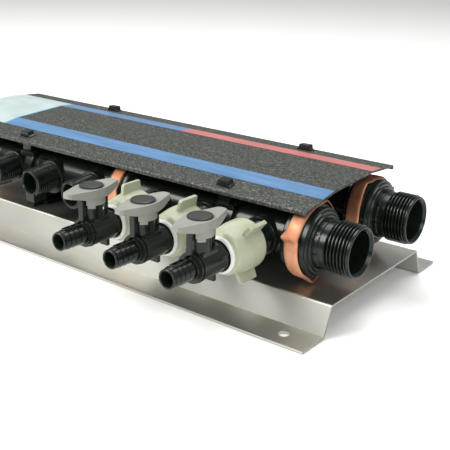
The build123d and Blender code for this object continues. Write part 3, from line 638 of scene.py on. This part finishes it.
def make_adapter(name, face):
    """Inlet adapter with a ring of lugs, a plain neck and a large thread."""
    x0 = JOINTS[0]
    step, lug_end, start = x0 + JOINT_DEPTH, x0 + LUG_END, x0 + THREAD_START
    end, mouth = x0 + THREAD_END, x0 + ADAPTER_MOUTH
    lug_start, core = step + 2.6, ADAPTER_ROOT - 0.2
    profile = [(x0, 0), *joint_points(x0, 1), (step, 20.4), (step + 1.4, 19.8), (step + 1.4, 18.2),
               (lug_start, 17.6), (lug_start, LUG_RADIUS), (lug_end, LUG_RADIUS),
               (lug_end + 0.4, NECK_RADIUS), (start - 0.2, NECK_RADIUS), (start, core), (end, core),
               (end, 15.8), (end + 0.3, 16.0), (mouth - 0.5, 15.9), (mouth, 15.4), (mouth, 0)]
    body = turned(soften(profile, 0.3, 3, closed=False), segments=144)
    slots = []
    half = LUG_SLOT_WIDTH / 2
    for i in range(LUG_SLOTS):
        turn = spin(360 / LUG_SLOTS * i + 14, "X")
        slots.append(block(step + 2.8, lug_end + OVERRUN, -half, half, 15.6, 18, 0.0, turn))
    cut(body, slots)
    ridges = thread(ADAPTER_ROOT, ADAPTER_CREST, ADAPTER_PITCH, start - 0.1, end + 0.2,
                    ADAPTER_ROOT - 0.7, segments=120)
    combine(body, [ridges])
    bore = [(x0 - OVERRUN, 0), (x0 - OVERRUN, PIPE_BORE), (x0, PIPE_BORE), (step, ADAPTER_BORE),
            (mouth - BEVEL_DEPTH, ADAPTER_BORE), (mouth + 0.2, BEVEL_RADIUS),
            (mouth + OVERRUN, BEVEL_RADIUS), (mouth + OVERRUN, 0)]
    cut(body, [turned(bore, segments=144)])
    moved(body, shift(0, face * ROW_Y, AXIS))
    finish_piece(body, name + "_moulding", "black_plastic", [name])


def elbow(radius, start, extra):
    """Half circle of pipe from one row to the other, carried on straight at both ends."""
    steps, sides = 48, 72
    rings = []
    for i in range(-1, steps + 2):
        t = max(0, min(steps, i)) / steps
        a = math.pi / 2 + math.pi * t
        centre = Vector((start + ROW_Y * math.cos(a), ROW_Y * math.sin(a), 0))
        if i in (-1, steps + 1):
            centre.x += extra
        out = Vector((math.cos(a), math.sin(a), 0))
        ring = []
        for k in range(sides):
            b = 2 * math.pi * k / sides
            ring.append(centre + out * (radius * math.cos(b)) + Vector((0, 0, radius * math.sin(b))))
        rings.append(ring)
    data = rings_to_mesh(rings, False)
    for first in (0, len(data.verts) - sides):
        data.verts.ensure_lookup_table()
        data.faces.new([data.verts[first + k] for k in range(sides)])
    return shape(data)


def make_bend():
    """Return bend that joins the two rows at the left-hand end."""
    x0 = JOINTS[2]
    start = x0 - JOINT_TO_BEND
    body = elbow(PIPE, start, 2.0)
    bore = elbow(PIPE_BORE, start, 11.0)
    adds = []
    for side in (-1, 1):
        profile = [(x0, 0), *joint_points(x0, -1), (x0 - 12.0, PIPE - 0.1), (x0 - 12.0, 0)]
        adds.append(turned(soften(profile, 0.8, 3, closed=False), shift(0, side * ROW_Y), 128))
    combine(body, adds)
    cut(body, [bore])
    moved(body, shift(0, 0, AXIS))
    finish_piece(body, "return_bend_moulding", "black_plastic", ["return_bend"])


# Copper bands: thin sheet pinched into ears

def pinch(angle, place, before, after, power=1.25):
    """Height of a pinch from 0 to 1, with its own width before and after its crest."""
    off = (angle - place + 180.0) % 360.0 - 180.0
    return math.exp(-abs(off / (before if off < 0 else after)) ** power)


def band_radius(angle, station, main, at_front):
    """Outer radius of a band at an angle, at a station from -1 (rear edge) to 1 (front edge)."""
    height, before, after = TALL_EAR
    tall = 0.62 + 0.42 * (station if at_front else -station)
    radius = BAND_RADIUS + height * tall * pinch(angle, main, before, after, 1.9)
    for turn_on, height, before, after in LOW_EARS:
        radius += height * (0.7 + 0.3 * station) * pinch(angle, main + turn_on, before, after)
    turn = math.radians(angle)
    unevenness = 0.14 * math.sin(5 * turn + main) + 0.08 * math.sin(11 * turn + 2.0 * station)
    rolled_edge = 0.85 * abs(station) ** 8
    return radius + unevenness - rolled_edge


def make_band(name, joint, face):
    """Closed skin of a band: the outside rings, then the inside ones back again."""
    count = 288
    main = BAND_ANGLES[face][joint]
    stations = [-1.0, -0.97, -0.9, -0.75, -0.45, 0.0, 0.45, 0.75, 0.9, 0.97, 1.0]
    rings = []
    for depth, order in ((0.0, stations), (BAND_GAUGE, stations[::-1])):
        for station in order:
            x = JOINTS[joint] + BAND_HALF_WIDTH * station
            ring = []
            for k in range(count):
                angle = 360.0 * k / count
                radius = band_radius(angle, station, main, face > 0) - depth
                turn = math.radians(angle)
                ring.append((x, radius * math.cos(turn), radius * math.sin(turn)))
            rings.append(ring)
    band = shape(rings_to_mesh(rings, True), shift(0, face * ROW_Y, AXIS))
    finish_piece(band, name + "_sheet", "copper", [name], angle=60)


# Valves

def make_valve(number, x, wing_angle):
    """Valve about its stem, with the hose barb at the front and the tail flange at the rear."""
    prefix = f"valve_{number}_"
    place = shift(x, STEM_Y, AXIS)
    front = spin(90, "Z")
    past_tip = BARB_TIP - 1.3
    flange = [(TAIL_FACE, 0), (TAIL_FACE, 10.0), (TAIL_STEP, 10.0), (TAIL_STEP, 8.1), (TAIL_NECK, 8.1),
              (TAIL_NECK, 8.4)]
    barrel = [(BARREL_REAR, BARREL_RADIUS), (BARREL_FRONT, BARREL_RADIUS)]
    collars = [(BARREL_FRONT, 9.5), (-6.6, 9.5), (-6.6, 8.4), (-7.3, 8.4), (-7.3, 9.1), (-8.7, 9.1)]
    barb = [(-8.7, 7.7), (-10.9, 7.7), (-10.9, 5.8), (-11.3, 5.8), (-11.4, 5.3)]
    for i in range(BARB_TEETH):
        crest = BARB_FIRST - BARB_PITCH * i
        barb += [(crest, 5.3), (crest - 0.1, 6.45), (crest - 2.9, 5.95), (crest - 3.2, 5.2)]
    barb += [(-27.0, 5.2), (-27.15, 5.95), (-28.3, 5.9), (BARB_TIP, 5.5), (BARB_TIP, 0)]
    body = turned(soften(flange + barrel + collars + barb, 0.15, 3, closed=False), front)

    corner = BARREL_FLAT / math.cos(math.radians(22.5))
    octagon = []
    for k in range(8):
        a = math.radians(22.5 + 45 * k)
        octagon.append((corner * math.cos(a), corner * math.sin(a)))
    flats = prism(soften(octagon, 0.5), BARREL_REAR, TAIL_NECK, 0.4, spin(-90, "X"))
    bonnet = rod(BONNET_RADIUS, 0, BONNET_HEIGHT, ABOUT_Z, 72, 0.4)
    bonnet_block = block(-BONNET_RADIUS, BONNET_RADIUS, BARREL_FRONT, BARREL_REAR, 0, BARREL_RADIUS, 0.6)
    stop_post = block(-2.1, 2.1, -9.8, -5.3, 6.1, 21.2, 0.4)
    tie_post = block(-1.2, 1.2, 10.6, 12.6, 0, 20.0, 0.35)
    lug = block(-3.35, 3.35, 8.2, 10.8, -13.0, 0, 0.4)
    barb_rib = block(-1.8, 1.8, -24.25, -8.7, 0, 7.2, 0.3)
    combine(body, [flats, bonnet, bonnet_block, stop_post, tie_post, lug, barb_rib])

    mouth = [(past_tip, 0), (past_tip, 4.9), (BARB_TIP, 4.9), (-28.3, 4.6), (-26.5, 4.5),
             (-24.5, BARB_BORE), (-24.5, 0)]
    bores = [rod(BARB_BORE, past_tip, 0, front, 48),
             rod(CHAMBER_RADIUS, -7.42, 40, front, 64),
             turned(mouth, front, 48),
             rod(STEM_HOLE, 0, 30, ABOUT_Z, 48),
             rod(SHOULDER_HOLE, 0, BARREL_RADIUS, ABOUT_Z, 48)]
    pocket_length = 4.3
    for start in (-23.5, -18.4, -13.3):
        bores.append(block(-1.2, 1.2, start, start + pocket_length, 6.3, 8, 0.0))
    cut(body, bores)
    moved(body, place)
    finish_piece(body, prefix + "body_moulding", "black_plastic", [prefix + "body"])
    make_nut(prefix, place, wing_angle)
    make_handle(prefix, place, f"handle_{number}")


def make_nut(prefix, place, wing_angle):
    """Swivel nut with a rolled lip at the front and three wings at the rear."""
    front_bore = [(30.8, 8.35), (30.8, 9.88), (NUT_FRONT, 9.88)]
    outside = [(NUT_FRONT, 10.5), (16.3, 11.35), (17.0, 11.7), (17.5, 11.65), (18.2, 11.2), (18.8, 11.5),
               (19.4, 12.7), (20.6, 13.6), (24.6, 14.4), (29.6, 15.3), (34.1, 15.8), (42.3, 15.8),
               (43.6, 15.35), (NUT_REAR, 14.0)]
    rear_bore = [(NUT_REAR, 10.45), (TAIL_STEP, 10.45), (TAIL_STEP, 8.35)]
    nut = turned(soften(front_bore + outside + rear_bore, 0.7, 3), spin(90, "Z"), 128, closed=True)
    outline = soften([(12.0, NUT_REAR - 17.2), (21.0, NUT_REAR - 15.5), (WING_TIP, NUT_REAR - 14.5),
                      (WING_TIP, NUT_REAR), (12.0, NUT_REAR)], 0.8)
    wings = []
    for i in range(3):
        wing = prism(outline, -1.3, 1.3, 0.5)
        wings.append(moved(wing, spin(-wing_angle - 120 * i, "Y")))
    combine(nut, wings)
    moved(nut, place)
    finish_piece(nut, prefix + "nut_moulding", "nut_ivory", [prefix + "nut"], angle=40)


def make_handle(prefix, place, body_name):
    """Handle with two wings that thin out to their tips, a skirt with a tab, and the cap."""
    low, high = HANDLE_LOW, HANDLE_HIGH
    seat = high - CAP_RECESS
    quarter = [(8.75, 4.5), (3.6, HANDLE_HALF - 1.6), (2.0, HANDLE_HALF)]
    outline = quarter + [(-x, y) for x, y in reversed(quarter)]
    outline += [(-x, -y) for x, y in quarter] + [(x, -y) for x, y in reversed(quarter)]
    plate = prism(soften(outline, 0.5, 2), low, high, 0.5)
    adds = []
    skirt, tab = (-68.0, 158.0, 4.4), (-62.0, -28.0, 6.3)
    for start, end, drop in (skirt, tab):
        arc = []
        steps = max(4, int((end - start) / 6))
        for radius, order in ((SKIRT_OUTER, range(steps + 1)), (SKIRT_INNER, range(steps, -1, -1))):
            for k in order:
                a = math.radians(start + (end - start) * k / steps)
                arc.append((radius * math.cos(a), radius * math.sin(a)))
        adds.append(prism(arc, low - drop, low + 1, 0.2))
    boss = rod(4.5, 20.8, low + 1, ABOUT_Z, 48, 0.2)
    adds.append(boss)
    under = []
    for side in (-1, 1):
        inner, outer = side * 8.8, side * 23.0
        wedge = [(inner, low), (inner, low - 1), (outer, low - 1), (outer, low + 3.37)]
        under.append(prism(wedge, -12, 12, 0.0, YZ_TO_XYZ))
    cut(plate, under)
    combine(plate, adds)
    stem_square = block(-STEM_HALF, STEM_HALF, -STEM_HALF, STEM_HALF, 19, high + OVERRUN, 0.0)
    cap_recess = rod(CAP_RADIUS + SEAT_GAP, seat, high + 2, ABOUT_Z, 72)
    cut(plate, [stem_square, cap_recess])
    moved(plate, place)
    finish_piece(plate, prefix + "handle_moulding", "handle_grey", [prefix + "handle"], body_name)
    top = seat + CAP_GAUGE
    cap = turned([(seat, 0), (seat, CAP_RADIUS), (seat + 1.5, CAP_RADIUS), (seat + 2.05, 7.4), (top, 6.9),
                  (top, 6.5), (seat + 2.1, 6.2), (seat + 2.1, 0)], ABOUT_Z, 96)
    moved(cap, place)
    finish_piece(cap, prefix + "cap_moulding", "cap_grey", [prefix + "cap"], body_name)


# Saddles

def make_saddle(name, port_x):
    """Lower half: a slotted wall under both pipes on a wider foot, cut slanting at its ends."""
    half_wall = ROW_Y + PIPE + SADDLE_WALL
    wall = block(-SADDLE_HALF, SADDLE_HALF, -half_wall, half_wall, DECK_HEIGHT, AXIS, 0.5)
    foot_top = DECK_HEIGHT + FOOT_HEIGHT
    cuts = []
    for side in (-1, 1):
        cuts.append(rod(PIPE + SEAT_GAP, -6, 6, shift(0, side * ROW_Y, AXIS), 96))
        cuts.append(block(-6, 6, side * 4.5, side * 19.2, foot_top, AXIS + 5, 0.0))
        slant = shift(0, side * (half_wall + 4), DECK_HEIGHT) @ spin(side * FOOT_ANGLE, "X")
        cuts.append(block(-8, 8, -4, 4, -16, 16, 0.0, slant))
    cut(wall, cuts)
    foot = block(-FOOT_HALF_WIDTH, FOOT_HALF_WIDTH, -FOOT_HALF_LENGTH, FOOT_HALF_LENGTH,
                 DECK_HEIGHT, foot_top, 0.6)
    combine(wall, [foot])
    moved(wall, shift(port_x + BAND_FROM_PORT))
    finish_piece(wall, "saddle_" + name + "_moulding", "black_plastic", ["saddle_" + name])


def make_clamp(name, port_x):
    """Upper half: two half rings with a bridge between them, and a post with a snap hook on each."""
    x = port_x + BAND_FROM_PORT
    x0, x1 = x - SADDLE_HALF, x + SADDLE_HALF
    hook_x = port_x + HOOK_FROM_PORT
    hook_x0, hook_x1 = hook_x - HOOK_HALF_WIDTH, hook_x + HOOK_HALF_WIDTH
    outer = PIPE + SADDLE_WALL
    crown = AXIS + math.sqrt(outer ** 2 - (HOOK_Y - ROW_Y) ** 2)
    clamp = block(x0, x1, -ROW_Y, ROW_Y, AXIS, AXIS + BRIDGE_HEIGHT, 0.3)
    adds = []
    for side in (-1, 1):
        ring = rod(outer, x0, x1, shift(0, side * ROW_Y, AXIS), 96, 0.4)
        cut(ring, [block(x0 - OVERRUN, x1 + OVERRUN, -80, 80, 0, AXIS, 0.0)])
        adds.append(ring)
        y = side * HOOK_Y
        base = block(x1 - POST_WIDTH, x1, y - POST_HALF_DEPTH, y + POST_HALF_DEPTH, AXIS + 7.1, crown, 0.5)
        under = hook_frame(side, hook_x)
        top = (under @ Vector((0, 0, -COVER_GAUGE))).z
        post = block(hook_x0, hook_x1, y - HOOK_HALF_DEPTH, y + HOOK_HALF_DEPTH,
                     crown - 3, top - 0.6, 0.3)
        shoulder = block(-6.5, 6.5, -POST_HALF_DEPTH, POST_HALF_DEPTH, -3.6, -1.62, 0.4, under)
        neck = block(-HOOK_HALF_WIDTH, HOOK_HALF_WIDTH, -HOOK_HALF_DEPTH, HOOK_HALF_DEPTH,
                     -3.0, 1.0, 0.0, under)
        head = soften([(-5.7, 0.05), (5.7, 0.05), (5.7, 0.65), (4.5, 1.25), (3.9, 4.0),
                       (-3.9, 4.0), (-4.5, 1.25), (-5.7, 0.65)], 0.3, 2)
        adds += [base, post, shoulder, neck, prism(head, -2.95, 2.95, 0.4, under @ spin(90, "X"))]
    combine(clamp, adds)
    cuts = []
    for side in (-1, 1):
        pipe = shift(0, side * ROW_Y, AXIS)
        cuts.append(rod(PIPE + SEAT_GAP, x1 - 16, x1 + OVERRUN, pipe, 96))
        collar = shift(port_x, side * 30, AXIS) @ ABOUT_Y
        cuts.append(rod(COLLAR_RADIUS + OPEN_GAP, 0, side * 60, collar, 72))
    cuts.append(rod(SCREW_HOLE, AXIS - OVERRUN, AXIS + 8, shift(x) @ ABOUT_Z, 32))
    cut(clamp, cuts)
    finish_piece(clamp, "saddle_clamp_" + name + "_moulding", "black_plastic", ["saddle_clamp_" + name])


# Camera, set from the photograph

CAMERA_PLACE = (0.423157, -0.446629, 0.232823)
CAMERA_RIGHT = (0.7891, 0.6140, 0.0151)
CAMERA_UP = (-0.2243, 0.2651, 0.9377)
CAMERA_FORWARD = (-0.5718, 0.7434, -0.3469)
CAMERA_LENS = 66.83
SENSOR_WIDTH = 36.0


def add_camera():
    data = bpy.data.cameras.new("camera")
    data.lens = CAMERA_LENS
    data.sensor_width = SENSOR_WIDTH
    data.clip_start, data.clip_end = 0.01, 50.0
    camera = bpy.data.objects.new("camera", data)
    scene.collection.objects.link(camera)
    turn = Matrix((CAMERA_RIGHT, CAMERA_UP, [-c for c in CAMERA_FORWARD])).transposed()
    camera.matrix_world = shift(*CAMERA_PLACE) @ turn.to_4x4()
    scene.camera = camera


# Studio: a pale floor, soft boxes and a pale surround

def area_light(name, place, target, size, power, colour):
    data = bpy.data.lights.new(name, "AREA")
    data.shape = "RECTANGLE"
    data.size, data.size_y = size
    data.energy = power
    data.color = colour
    light = bpy.data.objects.new(name, data)
    scene.collection.objects.link(light)
    light.location = place
    light.rotation_euler = (Vector(target) - Vector(place)).to_track_quat("-Z", "Y").to_euler()


def add_studio():
    area_light("key", (-0.75, -1.15, 1.15), (0.05, 0, 0.03), (1.1, 0.8), 32.0, (1.0, 0.99, 0.97))
    area_light("fill", (1.25, -0.75, 0.9), (0.1, 0, 0.03), (0.9, 0.9), 9.0, (0.97, 0.99, 1.0))
    area_light("top", (0.0, 0.35, 1.6), (0.0, 0, 0), (1.6, 1.0), 24.0, (1.0, 1.0, 1.0))
    world = bpy.data.worlds.new("surround")
    scene.world = world
    world.use_nodes = True
    back = world.node_tree.nodes["Background"]
    back.inputs["Color"].default_value = (0.86, 0.88, 0.86, 1)
    back.inputs["Strength"].default_value = 0.5
    grid = bmesh.new()
    bmesh.ops.create_grid(grid, x_segments=2, y_segments=2, size=9.0)
    mesh = bpy.data.meshes.new("floor")
    grid.to_mesh(mesh)
    grid.free()
    floor = bpy.data.objects.new("floor", mesh)
    floor.location.z = cad_low.z - 0.0004
    scene.collection.objects.link(floor)
    paint = bpy.data.materials.new("floor_paint")
    paint.use_nodes = True
    shader = paint.node_tree.nodes["Principled BSDF"]
    shader.inputs["Base Color"].default_value = (0.90, 0.90, 0.89, 1)
    shader.inputs["Roughness"].default_value = 0.85
    mesh.materials.append(paint)


def dress_cad_nodes():
    """Gives every CAD node the finished material of its slot."""
    slots = {entry["node"]: entry["material_slot"] for entry in frame["record"]["subparts"]}
    for name, node in frame["nodes"].items():
        for slot in node.material_slots:
            slot.material = MATERIALS[slots[name]]


make_steel()
make_cover_paint()
make_films()
make_plastics()
make_metals()
dress_cad_nodes()
make_bracket()
make_cover()
make_module("trunk_front_right", 0, -1)
make_module("trunk_front_left", 1, -1, keyed=True)
make_module("trunk_back_right", 0, 1)
make_module("trunk_back_left", 1, 1)
make_adapter("inlet_adapter_front", -1)
make_adapter("inlet_adapter_back", 1)
make_bend()
for joint in range(3):
    make_band(f"crimp_band_front_{joint + 1}", joint, -1)
    make_band(f"crimp_band_back_{joint + 1}", joint, 1)
for number, (valve_x, wing_angle) in enumerate(zip(VALVES, WING_ANGLES), 1):
    make_valve(number, valve_x, wing_angle)
for name, port_x in zip(("right", "left"), SADDLE_PORTS):
    make_saddle(name, port_x)
    make_clamp(name, port_x)
add_camera()
add_studio()
scene.view_settings.view_transform = "Standard"
